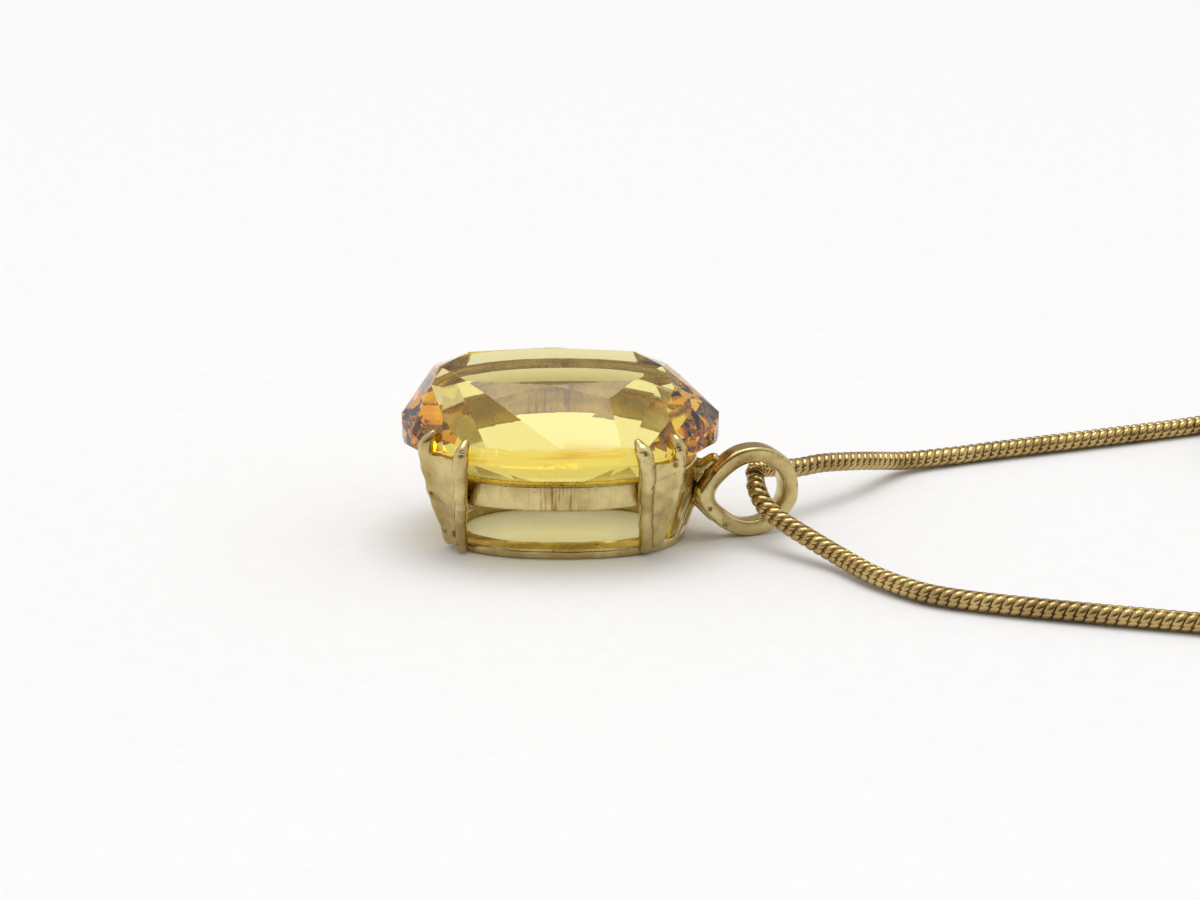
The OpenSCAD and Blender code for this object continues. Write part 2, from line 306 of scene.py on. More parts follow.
ROUTE_BACK = [
    AXLE, (0.0079, 0.0004, 0.00305), (0.0087, 0.0016, 0.0028), (0.01005, 0.0027, 0.0024),
    (0.0116, 0.0039, 0.00225), (0.0135, 0.0056, 0.00177), (0.01495, 0.0073, 0.0012),
    (0.0165, 0.0089, 0.00066), (0.0192, 0.0101, FLOOR_Z), (0.02185, 0.0111, FLOOR_Z),
    (0.0276, 0.0131, FLOOR_Z), (0.0335, 0.0153, FLOOR_Z), (0.0375, 0.0173, 0.0006),
    (0.0425, 0.0185, 0.00072),
]
END_FRONT = [
    (0.053, -0.0096, 0.0015), (0.053, -0.0083, 0.00105), (0.053, -0.0072, 0.0008), (0.053, -0.0055, 0.0008),
]
END_BACK = [
    (0.0495, 0.0096, 0.0015), (0.0495, 0.0083, 0.00105), (0.0495, 0.0072, 0.0008), (0.0495, 0.0055, 0.0008),
]
COIL_TURNS = 4.25
COIL_STEPS_PER_TURN = 36
JOG_START = 0.75
CLIMB_TURNS = 0.24
CURVE_STEPS = 8


def catmull(p, i, t):
    """A point on the smooth curve through p, t of the way from point i to the next one."""
    last = len(p) - 1
    a, b, c, d = (Vector(p[min(max(k, 0), last)]) for k in (i - 1, i, i + 1, i + 2))
    square = 2 * a - 5 * b + 4 * c - d
    cube = 3 * b - a - 3 * c + d
    return 0.5 * (2 * b + (c - a) * t + square * t * t + cube * t ** 3)


def eased(x):
    """Goes from 0 to 1 with a level start and end, and stays there outside them."""
    x = min(max(x, 0), 1)
    return x * x * (3 - 2 * x)


def coil_points(centre, start, turn):
    """Turns of a coil: inwards along the lower layer and back outwards on the upper one. Each turn is
    a circle for three quarters of its way, and then moves over by one chain thickness."""
    points = []
    steps = int(COIL_TURNS * COIL_STEPS_PER_TURN)
    low = TIE_T + CHAIN_D / 2
    for k in range(1, steps):
        turned = COIL_TURNS * k / steps
        depth = min(turned, COIL_TURNS - turned)
        radius = COIL_R - CHAIN_D * (int(depth) + eased((depth % 1 - JOG_START) / (1 - JOG_START)))
        height = low + CHAIN_D * eased((turned - COIL_TURNS / 2) / CLIMB_TURNS + 0.5)
        angle = start + turn * math.tau * turned
        points.append(centre + Vector((radius * math.cos(angle), radius * math.sin(angle), height)))
    return points


def evenly(points, step):
    """The same line with points a step apart."""
    line = [Vector(points[0])]
    spare = 0.0
    for a, b in zip(points, points[1:]):
        span = (b - a).length
        along = step - spare
        while along <= span:
            line.append(a.lerp(b, along / span))
            along += step
        spare = span - (along - step)
    return line


def smooth_line(points):
    """The smooth curve through points, without its last point."""
    return [
        catmull(points, i, t / CURVE_STEPS)
        for i in range(len(points) - 1)
        for t in range(CURVE_STEPS)
    ]


def chain_line(route, centre, start, turn, end, step):
    near = smooth_line(route)
    coil = coil_points(centre, start, turn)
    tail = [coil[-1]] + [Vector(p) for p in end]
    far = smooth_line(tail)[1:] + [tail[-1]]
    return evenly(near + [Vector(route[-1])] + coil + far, step)


def length_of(points):
    return sum((b - a).length for a, b in zip(points, points[1:]))


STEP = 0.125 * MM
line_front = chain_line(ROUTE_FRONT, FRONT_COIL, -math.pi / 2, 1, END_FRONT, STEP)
line_back = chain_line(ROUTE_BACK, BACK_COIL, math.pi / 2, -1, END_BACK, STEP)
print("chain", round(length_of(line_front), 4), round(length_of(line_back), 4), "m")

# %% [markdown]
# ## Snake chain
# A snake chain is a string of small wavy plates that nest in each other. From outside it shows four
# rows of slanted, slightly domed scales. Neighbouring rows are half a scale apart, so the seam between
# them is a zigzag. Here a dark inner tube fills the grooves with painted shade, and every scale is one
# small patch of 24 faces laid on it. Real plates follow the chain's bends without stretching, and so do
# the patches.

# %%
# Snake chain
PITCH = 0.5 * MM
CORE_R = 0.43 * MM
SCALE_ACROSS = 7
SCALE_COVER = 0.92
SCALE_ALONG = ((-1.0, 0.42), (-0.82, 0.484), (0.0, 0.5), (0.82, 0.484), (1.0, 0.42))
SCALE_HALF_ARC = math.radians(52)
SLANT = 0.36 * MM
TWIST = math.radians(-1.45) / MM
SEAM = math.radians(22)
CORE_SIDES = 10
ROWS = 4
# A scale's ends are rounded from here on, as a share of its half arc, and sink by this much.
ROUND_FROM = 0.62
ROUND_NARROWING = 0.86
ROUND_SINK = 0.035 * MM
# The grooves' near-black brown is painted shade between the scales, not a colour of the gold.
painted_groove_shade = cast_gold("painted_groove_shade", (0.16, 0.09, 0.04), (0.07, 0.04, 0.02), 0.35, 0.0, False)


def frames_along(points):
    """Position, direction, side and up at each point; up stays as vertical as it can."""
    frames = []
    side = Vector((0, -1, 0))
    for i, p in enumerate(points):
        ahead = (points[min(i + 1, len(points) - 1)] - points[max(i - 1, 0)]).normalized()
        level = ahead.cross(Vector((0, 0, 1)))
        if level.length >= 0.05:
            side = level.normalized()
        frames.append((p, ahead, side, side.cross(ahead)))
    return frames


def on_chain(frames, distance, angle, radius):
    """A point on the chain: distance along it, angle round it (0 faces the side) and radius."""
    place = min(max(distance / STEP, 0), len(frames) - 1.001)
    k = int(place)
    t = place - k
    p0, a0, s0, u0 = frames[k]
    p1, a1, s1, u1 = frames[k + 1]
    side = s0.lerp(s1, t).normalized()
    up = u0.lerp(u1, t).normalized()
    return p0.lerp(p1, t) + radius * (math.cos(angle) * side + math.sin(angle) * up)


def add_core(bm, frames, total):
    """The dark tube inside the scales: painted shade that fills the grooves between them."""
    count = int(total / (PITCH / 2))
    rings = [
        [
            bm.verts.new(on_chain(frames, total * i / count, math.tau * k / CORE_SIDES, CORE_R))
            for k in range(CORE_SIDES)
        ]
        for i in range(count + 1)
    ]
    for a, b in zip(rings, rings[1:]):
        for k in range(CORE_SIDES):
            after = (k + 1) % CORE_SIDES
            bm.faces.new((a[k], a[after], b[after], b[k])).material_index = 1
    for ring in (rings[0], rings[-1]):
        bm.faces.new(ring).material_index = 1


def add_scale(bm, frames, middle, centre):
    """One scale: a slanted patch with its middle at a distance along the chain and an angle round it."""
    grid = []
    for i in range(SCALE_ACROSS):
        u = 2 * i / (SCALE_ACROSS - 1) - 1
        rounding = max((abs(u) - ROUND_FROM) / (1 - ROUND_FROM), 0) ** 2
        half = SCALE_COVER * 0.5 * PITCH * math.sqrt(max(1 - ROUND_NARROWING * rounding, 0))
        slant = SLANT * u * 0.5
        angle = centre + u * SCALE_HALF_ARC
        sink = ROUND_SINK * rounding
        grid.append([
            bm.verts.new(on_chain(frames, middle + v * half + slant, angle, r * MM - sink))
            for v, r in SCALE_ALONG
        ])
    for a, b in zip(grid, grid[1:]):
        for j in range(len(SCALE_ALONG) - 1):
            bm.faces.new((a[j], b[j], b[j + 1], a[j + 1]))


def snake_chain(name, line):
    frames = frames_along(line)
    total = (len(line) - 1) * STEP
    bm = bmesh.new()
    add_core(bm, frames, total)
    for row in range(ROWS):
        for k in range(int(total / PITCH) - 1):
            middle = (k + 0.75 + 0.5 * (row % 2)) * PITCH
            if middle <= total - 0.6 * PITCH:
                add_scale(bm, frames, middle, SEAM + math.radians(45 + 90 * row) + TWIST * middle)
    return add_mesh(name, bm, [chain_gold, painted_groove_shade])


chain_run_front = snake_chain("chain_run_front", line_front)
chain_run_back = snake_chain("chain_run_back", line_back)
for run, nodes, line, fittings in (
    (chain_run_front, ("chain_front", "coil_front"), line_front,
     ("ties_front", "end_cap_front", "jump_ring", "clasp_body", "clasp_lever", "clasp_pin", "clasp_spring")),
    (chain_run_back, ("chain_back", "coil_back"), line_back, ("ties_back", "end_cap_back", "tag_ring")),
):
    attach(run, "chain")
    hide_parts(*nodes)
    print(run.name, len(run.data.polygons), "faces")

# %% [markdown]
# ## Shaping helpers for the setting
# Cast gold has no machined edges: every corner is a little round and every wall a little uneven. The
# pieces are lofted from rounded cross-sections, fused with a fine remesh where parts were soldered
# together, and then pushed in and out by a very small amount of smooth noise.

# %%
# Shaping helpers
CORNER_STEPS = 3
LIMB_SIDES = 12
LIMB_STEPS = 4
# A limb's rounded end: how far forward each ring stands and how wide it is, in radii of the end.
DOME = ((0, 1), (0.55, 0.83), (0.9, 0.42))
# A direction that no limb runs along, which their rings are turned to.
ASIDE = Vector((0.31, 0.17, 0.93))


def superellipse(length, width, n, steps, centre=0.0):
    """An oval outline; a higher n makes its corners fuller. Sizes in millimetres."""
    points = []
    for k in range(steps):
        t = math.tau * k / steps
        c, s = math.cos(t), math.sin(t)
        x = length / 2 * math.copysign(abs(c) ** (2 / n), c)
        y = width / 2 * math.copysign(abs(s) ** (2 / n), s)
        points.append(Vector((x + centre, y, 0)))
    return points


def loft(bm, loops, closed=False):
    """Joins loops of points into a skin, with its two ends closed unless it runs round."""
    rows = [[bm.verts.new(p) for p in loop] for loop in loops]
    pairs = list(zip(rows, rows[1:]))
    if closed:
        pairs.append((rows[-1], rows[0]))
    n = len(rows[0])
    for a, b in pairs:
        for k in range(n):
            bm.faces.new((a[k], a[(k + 1) % n], b[(k + 1) % n], b[k]))
    if not closed:
        bm.faces.new(rows[0])
        bm.faces.new(reversed(rows[-1]))


def rounded_box_loop(centre, u, v, half_u, half_v, corner):
    """A rounded rectangle in the plane of u and v."""
    loop = []
    for qu, qv, start in ((1, 1, 0), (-1, 1, 90), (-1, -1, 180), (1, -1, 270)):
        for k in range(CORNER_STEPS + 1):
            a = math.radians(start + 90 * k / CORNER_STEPS)
            loop.append(
                centre + u * (qu * (half_u - corner) + corner * math.cos(a))
                + v * (qv * (half_v - corner) + corner * math.sin(a))
            )
    return loop


def limb(bm, points, sizes):
    """A round tapering limb through points, with a domed end. Sizes are radii."""
    spans = range(len(points) - 1)
    line = [catmull(points, i, t / LIMB_STEPS) for i in spans for t in range(LIMB_STEPS)]
    line.append(Vector(points[-1]))
    radii = []
    for i in range(len(line)):
        place = i / LIMB_STEPS
        k = min(int(place), len(sizes) - 2)
        radii.append(sizes[k] + (sizes[k + 1] - sizes[k]) * (place - k))
    loops = []
    for i, p in enumerate(line):
        ahead = (line[min(i + 1, len(line) - 1)] - line[max(i - 1, 0)]).normalized()
        side = ahead.cross(ASIDE).normalized()
        up = side.cross(ahead)
        for forward, width in DOME if i == len(line) - 1 else DOME[:1]:
            centre = p + ahead * forward * radii[i]
            r = radii[i] * width
            turns = [math.tau * k / LIMB_SIDES for k in range(LIMB_SIDES)]
            loops.append([centre + r * (math.cos(a) * side + math.sin(a) * up) for a in turns])
    loft(bm, loops)


def to_metres(bm):
    bmesh.ops.scale(bm, vec=(MM, MM, MM), verts=bm.verts)


def fuse(obj, voxel_mm, smooth_steps):
    """Fuses overlapping parts of a piece into one skin, and rounds it."""
    bpy.context.view_layer.objects.active = obj
    remesh = obj.modifiers.new("fuse", "REMESH")
    remesh.mode = "VOXEL"
    remesh.voxel_size = voxel_mm * MM
    bpy.ops.object.modifier_apply(modifier="fuse")
    bm = bmesh.new()
    bm.from_mesh(obj.data)
    for _ in range(smooth_steps):
        bmesh.ops.smooth_vert(
            bm, verts=bm.verts, factor=0.5, use_axis_x=True, use_axis_y=True, use_axis_z=True,
        )
    bm.to_mesh(obj.data)
    bm.free()
    obj.data.shade_smooth()


def hand_made(obj, amount_mm, size_mm, seed=0.0):
    """Moves each point along its normal by smooth noise."""
    offset = Vector((seed, seed * 0.7, -seed))
    moved = [
        v.co + v.normal * (noise.noise(v.co / (size_mm * MM) + offset) * amount_mm * MM)
        for v in obj.data.vertices
    ]
    for vertex, place in zip(obj.data.vertices, moved):
        vertex.co = place
    obj.data.update()


# %% [markdown]
# ## The gem
# An oval cut is ground like this one is built here: from a short oval prism, one flat facet after
# another. The gem is clear and only tinted, so its colour comes from the length of the light's way
# through it, which is what an absorbing volume gives. Its two ends have a browner tint, and fine
# streaks run along its girdle.

# %%
# Gem material
GEM_IOR = 1.55
GIRDLE_MIDDLE = 5.85
GEM_COLOR = (0.968, 0.88, 0.08, 1)
GEM_DENSITY = 165
MIDDLE_TINT = (1.0, 0.995, 0.97)
END_TINT = (0.87, 0.47, 0.2)
# The brown of the ends starts and is full at these distances from the gem's middle.
END_START = 5.2 * MM
END_FULL = 7.4 * MM
STREAKS = (260, 260, 3000)
STREAK_PALE = (0.95, 0.66, 0.3)
STREAK_BROWN = (0.7, 0.42, 0.2)
POLISH_DEPTH = 0.0006 * MM


def gem_material():
    n = Nodes("gem")
    ends = n.fit(n.distance_from("X", GEM_X * MM), END_START, END_FULL, 0, 1)
    zone = n.ramp(ends, [(0, MIDDLE_TINT), (1, END_TINT)])
    streaks = n.noise(1, 3, 0.6, n.stretched(STREAKS))
    streak = n.ramp(streaks, [(0.5, WHITE), (0.6, STREAK_PALE), (0.7, STREAK_BROWN)])
    girdle = n.fit(n.distance_from("Z", GIRDLE_MIDDLE * MM), 0.42 * MM, 0.56 * MM, 1, 0)
    zone = n.multiplied(zone, streak, girdle)
    polish = n.bump(n.noise(9000, 2), POLISH_DEPTH, 0.3)
    rough = n.fit(n.noise(700, 4, 0.6), 0.35, 0.75, 0.0, 0.012)
    n.principled(zone, rough, polish, IOR=GEM_IOR, Transmission_Weight=1.0)
    absorb = n.add("VolumeAbsorption")
    absorb.inputs["Color"].default_value = GEM_COLOR
    absorb.inputs["Density"].default_value = GEM_DENSITY
    n.link(absorb.outputs["Volume"], n.output.inputs["Volume"])
    return n.material


# %% [markdown]
# The crown's facets are planes through three points each: the table's corners, the tips of the star
# facets between them, and points on the girdle. The cutter ground the crown a little off the girdle's
# middle. The pavilion is cut like steps, with long facets along the sides that meet in a short keel,
# which gives the wide clear window below the table.

# %%
# Gem
TABLE_Z = 8.7
GIRDLE_TOP = 6.35
GIRDLE_BOTTOM = 5.35
CULET_Z = 1.05
GEM_LENGTH = 16
GEM_WIDTH = 12
GEM_N = 2.13
GRIND_TOLERANCE = 1e-4
# One quarter of the crown: the table's edge, the tips of its star facets, and points on the girdle.
TABLE_END = Vector((5.6, 0, TABLE_Z))
TABLE_CORNER = Vector((4.2, 2.5, TABLE_Z))
TABLE_SIDE = Vector((0, 3.22, TABLE_Z))
STAR_END = Vector((6.0, 1.6, 8.25))
STAR_SIDE = Vector((2.85, 3.8, 8.15))
GIRDLE_END = Vector((8.0, 0, GIRDLE_TOP))
GIRDLE_HIGH = Vector((7.3, 2.3, GIRDLE_TOP))
GIRDLE_CORNER = Vector((5.8, 4.32, GIRDLE_TOP))
GIRDLE_LOW = Vector((3.1, 5.55, GIRDLE_TOP))
GIRDLE_SIDE = Vector((0, 6.0, GIRDLE_TOP))
CROWN = [
    (TABLE_END, GIRDLE_END, STAR_END),
    (TABLE_CORNER, GIRDLE_CORNER, STAR_SIDE),
    (TABLE_SIDE, GIRDLE_SIDE, STAR_SIDE),
    (TABLE_END, TABLE_CORNER, STAR_END),
    (TABLE_CORNER, TABLE_SIDE, STAR_SIDE),
    (STAR_END, GIRDLE_END, GIRDLE_HIGH),
    (STAR_END, GIRDLE_CORNER, GIRDLE_HIGH),
    (STAR_SIDE, GIRDLE_CORNER, GIRDLE_LOW),
    (STAR_SIDE, GIRDLE_SIDE, GIRDLE_LOW),
]
TABLE_SHIFT = Vector((-0.45, 0.28, 0))
PAVILION_FACETS = (0, 32, 56, 72, 82, 90)
PAVILION_SLOPE = math.atan((GIRDLE_BOTTOM - CULET_Z) / (GEM_WIDTH / 2))


def grind(bm, point, normal):
    """Cuts away what lies outside a plane and closes the cut with one flat facet."""
    cut = bmesh.ops.bisect_plane(
        bm, geom=bm.verts[:] + bm.edges[:] + bm.faces[:], dist=GRIND_TOLERANCE,
        plane_co=point, plane_no=normal, clear_outer=True,
    )
    rim = [e for e in cut["geom_cut"] if isinstance(e, bmesh.types.BMEdge)]
    if rim:
        bmesh.ops.contextual_create(bm, geom=rim)


def crown_facet(bm, a, b, c, flip):
    """Grinds the facet through a, b and c, mirrored by the signs in flip."""
    a, b, c = (Vector((p.x * flip[0], p.y * flip[1], p.z)) for p in (a, b, c))
    a, b, c = (p + TABLE_SHIFT if p.z > GIRDLE_TOP else p for p in (a, b, c))
    normal = (b - a).cross(c - a).normalized()
    grind(bm, a, normal if normal.z > 0 else -normal)


def outline_reach(angle):
    """How far the girdle's outline reaches in a direction."""
    q = GEM_N / (GEM_N - 1)
    x = GEM_LENGTH / 2 * abs(math.cos(angle))
    y = GEM_WIDTH / 2 * abs(math.sin(angle))
    return (x ** q + y ** q) ** (1 / q)


def pavilion_facet(bm, angle):
    across = Vector((math.cos(angle), math.sin(angle), 0))
    normal = across * math.sin(PAVILION_SLOPE) + Vector((0, 0, -math.cos(PAVILION_SLOPE)))
    grind(bm, across * outline_reach(angle) + Vector((0, 0, GIRDLE_BOTTOM)), normal)


def make_gem():
    bm = bmesh.new()
    outline = superellipse(GEM_LENGTH, GEM_WIDTH, GEM_N, 64)
    loft(bm, [[p + Vector((0, 0, z)) for p in outline] for z in (CULET_Z, TABLE_Z)])
    bmesh.ops.recalc_face_normals(bm, faces=bm.faces)
    for facet in CROWN:
        for sx in (-1, 1):
            for sy in (-1, 1):
                crown_facet(bm, *facet, (sx, sy))
    for half in (0, 180):
        for side in (-1, 1):
            for degrees in PAVILION_FACETS:
                pavilion_facet(bm, math.radians(half + side * degrees))
    bmesh.ops.remove_doubles(bm, verts=bm.verts, dist=GRIND_TOLERANCE)
    bmesh.ops.translate(bm, verts=bm.verts, vec=(GEM_X, 0, 0))
    to_metres(bm)
    return add_mesh("gem_faceted", bm, [gem_material()], smooth=False)


gem = make_gem()
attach(gem, "pendant")
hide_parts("gem")
print("gem facets", len(gem.data.polygons))

# %% [markdown]
# ## Rails
# Two oval bands hold the setting together. The gallery rail sits under the girdle and carries the gem;
# its front was filed by hand, which left a patch of fine upright scratches. The base rail is a low,
# wide band that the pendant lies on.

# %%
# Rails


def rail(name, node, outline, sections, gold, seed, lumps=0.03):
    """sections are (inwards, height) pairs of the band's cross-section, in millimetres."""
    bm = bmesh.new()
    steps = len(outline)
    loops = []
    for k, p in enumerate(outline):
        along = (outline[(k + 1) % steps] - outline[k - 1]).normalized()
        inward = Vector((-along.y, along.x, 0))
        loops.append([p + inward * r + Vector((GEM_X, 0, z)) for r, z in sections])
    loft(bm, loops, closed=True)
    to_metres(bm)
    obj = add_mesh(name, bm, [gold])
    hand_made(obj, lumps, 0.9, seed)
    for v in obj.data.vertices:
        v.co.z = max(v.co.z, 0.0)
    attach(obj, "pendant")
    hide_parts(node)
    return obj


def band_section(wide, low, high, corner, slope_top=0.0):
    """A band's rounded cross-section, split finely enough to be bent by noise."""
    points = []
    corners = (
        (corner, low, 180), (wide - corner, low, 270), (wide - corner, high, 0), (corner, high, 90),
    )
    for x, z, start in corners:
        middle = z + corner if z == low else z - corner
        for k in range(CORNER_STEPS + 1):
            a = math.radians(start + 90 * k / CORNER_STEPS)
            across = x + corner * math.cos(a)
            height = middle + corner * math.sin(a)
            rise = (height - low) / (high - low)
            points.append((across, height + slope_top * across / wide * rise))
    return points


RAIL_STEPS = 160
gallery = rail(
    "gallery_band", "gallery_rail", superellipse(13.8, 10.4, 2.2, RAIL_STEPS),
    band_section(wide=0.72, low=2.85, high=4.2, corner=0.12), rail_gold, seed=3.1,
)
base = rail(
    "base_band", "base_rail", superellipse(12.3, 8.6, 2.4, RAIL_STEPS, 0.2),
    band_section(wide=1.0, low=0.0, high=0.5, corner=0.13, slope_top=0.12), setting_gold, seed=7.7,
    lumps=0.045,
)

# %% [markdown]
# ## Prongs
# Each prong is a plate that leans outwards and narrows towards the base rail. Both of its edges are
# thick ribs that run on past the plate and become the two claws, with a U-shaped notch between them.
# The claws were bent over the gem's girdle and their tips were filed to points.

# %%
# Prong shapes, from the foot to the claw's tip: x, y, z and the rib's radius, in millimetres
LEFT_INNER = [
    (-4.94, -3.25, 0.25, 0.34), (-4.94, -3.75, 1.5, 0.32), (-4.93, -4.5, 3.2, 0.35), (-4.91, -5.2, 5.0, 0.4),
    (-4.89, -5.36, 5.6, 0.4), (-4.8, -5.36, 6.05, 0.34), (-4.64, -4.98, 6.42, 0.2),
]
LEFT_OUTER = [
    (-5.55, -2.4, 0.3, 0.28), (-5.88, -2.7, 1.5, 0.28), (-6.3, -3.2, 3.2, 0.32), (-6.64, -3.7, 5.15, 0.36),
    (-6.68, -3.88, 5.65, 0.37), (-6.56, -3.98, 6.12, 0.33), (-6.26, -3.9, 6.55, 0.2),
]
RIGHT_INNER = [
    (4.22, -3.5, 0.25, 0.38), (4.2, -4.0, 1.5, 0.36), (4.2, -4.65, 3.2, 0.38), (4.22, -5.3, 4.9, 0.43),
    (4.2, -5.55, 5.5, 0.45), (4.06, -5.58, 6.05, 0.4), (3.8, -5.2, 6.42, 0.22),
]
RIGHT_OUTER = [
    (4.75, -3.1, 0.3, 0.28), (5.1, -3.35, 1.4, 0.28), (5.58, -3.8, 3.1, 0.32), (5.82, -4.35, 4.9, 0.36),
    (5.86, -4.58, 5.5, 0.37), (5.82, -4.64, 6.02, 0.33), (5.62, -4.35, 6.42, 0.2),
]
# Where the plate ends on its ribs, counted in their points.
LEFT_SHOULDER = 3.8
RIGHT_SHOULDER = 3.55
PLATE_STEPS = 12
PLATE_T = 0.5
PLATE_BACK = 0.12


def prong(name, node, inner, outer, shoulder, mirror_y=False, seed=0.0):
    bm = bmesh.new()
    up = Vector((0, 0, 1))
    loops = []
    for k in range(PLATE_STEPS + 1):
        place = shoulder * k / PLATE_STEPS
        a = catmull([p[:3] for p in inner], int(place), place % 1)
        b = catmull([p[:3] for p in outer], int(place), place % 1)
        across = Vector((b.x - a.x, b.y - a.y, 0))
        u = across.normalized()
        back = up.cross(u)
        if back.y < 0:
            back = -back
        centre = (a + b) / 2 + back * PLATE_BACK
        loops.append(rounded_box_loop(centre, u, back, across.length / 2 + 0.1, PLATE_T / 2, 0.2))
    loft(bm, loops)
    for path in (inner, outer):
        limb(bm, [Vector(p[:3]) for p in path], [p[3] for p in path])
    for v in bm.verts:
        if mirror_y:
            v.co.y = -v.co.y
        v.co.x += GEM_X
    to_metres(bm)
    obj = add_mesh(name, bm, [setting_gold])
    fuse(obj, 0.06, 2)
    hand_made(obj, 0.07, 0.7, seed)
    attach(obj, "pendant")
    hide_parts(node)
    return obj


# %% [markdown]
# The two front prongs are a little different, since each was filed by hand. The back ones, which nobody
# looks at, are made as their mirror images with other bumps.

# %%
# Prongs
for name, inner, outer, shoulder, back, seed in (
    ("front_left", LEFT_INNER, LEFT_OUTER, LEFT_SHOULDER, False, 1.3),
    ("front_right", RIGHT_INNER, RIGHT_OUTER, RIGHT_SHOULDER, False, 4.2),
    ("back_left", LEFT_INNER, LEFT_OUTER, LEFT_SHOULDER, True, 9.6),
    ("back_right", RIGHT_INNER, RIGHT_OUTER, RIGHT_SHOULDER, True, 6.5),
):
    made = prong("claws_" + name, "prong_" + name, inner, outer, shoulder, back, seed)
    print(made.name, len(made.data.polygons), "faces")

# %% [markdown]
# ## Bail ring and neck
# The ring was bent from flattened wire, its two ends brought together to a point, and soldered to the
# end of the gallery rail. The solder filled the corner between them, and a foot of it reaches down to
# the base rail.

# %%
# Bail
RING_REACH = 9.6
RING_Y = -0.6
RING_Z = 2.4
RING_TWIST = math.radians(19)
RING_R = 1.96
RING_STRETCH = 1.05
RING_STEPS = 96
RING_HALF_THICK = 0.41
RING_HALF_WIDE = 0.5
RING_CORNER = 0.17
# The point towards the neck: how far it stands out, and its width round the ring in degrees.
POINT_OUT = 0.42
POINT_WIDTH = 22
# The neck's rounded sections: x, y and z of the middle, half the width and half the height.
NECK_SECTIONS = (
    (6.15, -0.05, 2.75, 0.45, 1.25), (6.5, -0.15, 2.75, 0.52, 1.25), (6.9, -0.3, 2.65, 0.5, 1.05),
    (7.25, -0.45, 2.55, 0.47, 0.95), (7.55, -0.55, 2.5, 0.42, 0.75),
)
NECK_CORNER = 0.3
# Solder above and below the neck, a foot to the base rail, and a web beside the foot: points, radii.
SOLDER = (
    (((6.6, -0.2, 3.6), (7.2, -0.45, 3.55), (7.75, -0.6, 3.95)), (0.5, 0.44, 0.4)),
    (((6.9, -0.3, 2.0), (7.3, -0.5, 1.6), (7.8, -0.6, 1.1)), (0.5, 0.44, 0.4)),
    (((6.6, -0.1, 2.4), (6.45, 0.0, 1.4), (6.1, 0.0, 0.45)), (0.5, 0.42, 0.38)),
    (((6.5, -0.5, 2.8), (6.05, -1.3, 1.6), (5.6, -1.95, 0.4)), (0.45, 0.4, 0.36)),
)


def make_ring():
    bm = bmesh.new()
    y = Vector((0, 1, 0))
    loops = []
    for k in range(RING_STEPS):
        angle = math.tau * k / RING_STEPS
        to_neck = math.degrees(angle) - 180
        r = RING_R + POINT_OUT * math.exp(-((to_neck / POINT_WIDTH) ** 2))
        radial = Vector((RING_STRETCH * math.cos(angle), 0, math.sin(angle)))
        wander = 0.03 * math.sin(3 * angle + 1)
        flare = 0.06 * math.cos(angle - 0.6)
        loops.append(rounded_box_loop(
            radial * r + y * wander, radial, y, RING_HALF_THICK, RING_HALF_WIDE + flare, RING_CORNER,
        ))
    loft(bm, loops, closed=True)
    turn = Matrix.Rotation(RING_TWIST, 3, "Z")
    for v in bm.verts:
        v.co = turn @ v.co + Vector((GEM_X + RING_REACH, RING_Y, RING_Z))
    to_metres(bm)
    obj = add_mesh("bail_loop", bm, [setting_gold])
    hand_made(obj, 0.05, 1.1, 2.4)
    return obj


def make_neck():
    bm = bmesh.new()
    y = Vector((0, 1, 0))
    z = Vector((0, 0, 1))
    loft(bm, [
        rounded_box_loop(Vector((x, yc, zc)), y, z, half_y, half_z, NECK_CORNER)
        for x, yc, zc, half_y, half_z in NECK_SECTIONS
    ])
    for points, radii in SOLDER:
        limb(bm, [Vector(p) for p in points], radii)
    for v in bm.verts:
        v.co.x += GEM_X
    to_metres(bm)
    obj = add_mesh("bail_solder", bm, [setting_gold])
    fuse(obj, 0.07, 2)
    hand_made(obj, 0.07, 0.8, 5.5)
    return obj


for obj, node in ((make_ring(), "bail_ring"), (make_neck(), "bail_neck")):
    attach(obj, "pendant")
    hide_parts(node)

# %% [markdown]
# ## Clasp, end caps and ties
# The small fittings at the chain's two ends keep the solid model's exact shapes, because their pivots
# and holes have to fit. They get the look of plated brass with fine polishing lines, the pin and spring
# are drawn steel wire, and the coils are tied with bands of matt paper. A small bevel on every edge
# catches the light as a real filed edge does.

# %%
# Fitting materials


def drawn_steel():
    n = Nodes("pin_steel")
    lines = n.noise(1, 3, 0.6, n.stretched((12000, 12000, 500)))
    color = n.ramp(lines, [(0.3, (0.42, 0.41, 0.40)), (0.7, (0.62, 0.62, 0.60))])
    n.principled(color, n.fit(lines, 0.3, 0.7, 0.22, 0.4), n.bump(lines, 0.002 * MM, 0.6), Metallic=1.0)
    return n.material


def tie_paper():
    n = Nodes("tie_paper")
    fibres = n.noise(1, 4, 0.7, n.stretched((2600, 2600, 7000)), 0.6)
    clouds = n.noise(500, 2)
    color = n.multiplied(
        n.ramp(fibres, [(0.3, (0.80, 0.79, 0.75)), (0.7, (0.90, 0.89, 0.86))]),
        n.ramp(clouds, [(0.3, (0.94, 0.93, 0.90)), (0.7, (1, 1, 1))]),
    )
    n.principled(color, n.fit(fibres, 0.3, 0.7, 0.7, 0.9), n.bump(fibres, 0.012 * MM, 0.7))
    return n.material


fitting_gold = cast_gold("fitting_gold", (0.62, 0.46, 0.20), (0.46, 0.32, 0.12), 0.18, 0.003 * MM)

# %% [markdown]
# The lever and the body of the clasp are separate pieces, and so are the pin and the spring in it.

# %%
# Fittings
EDGE = 0.04


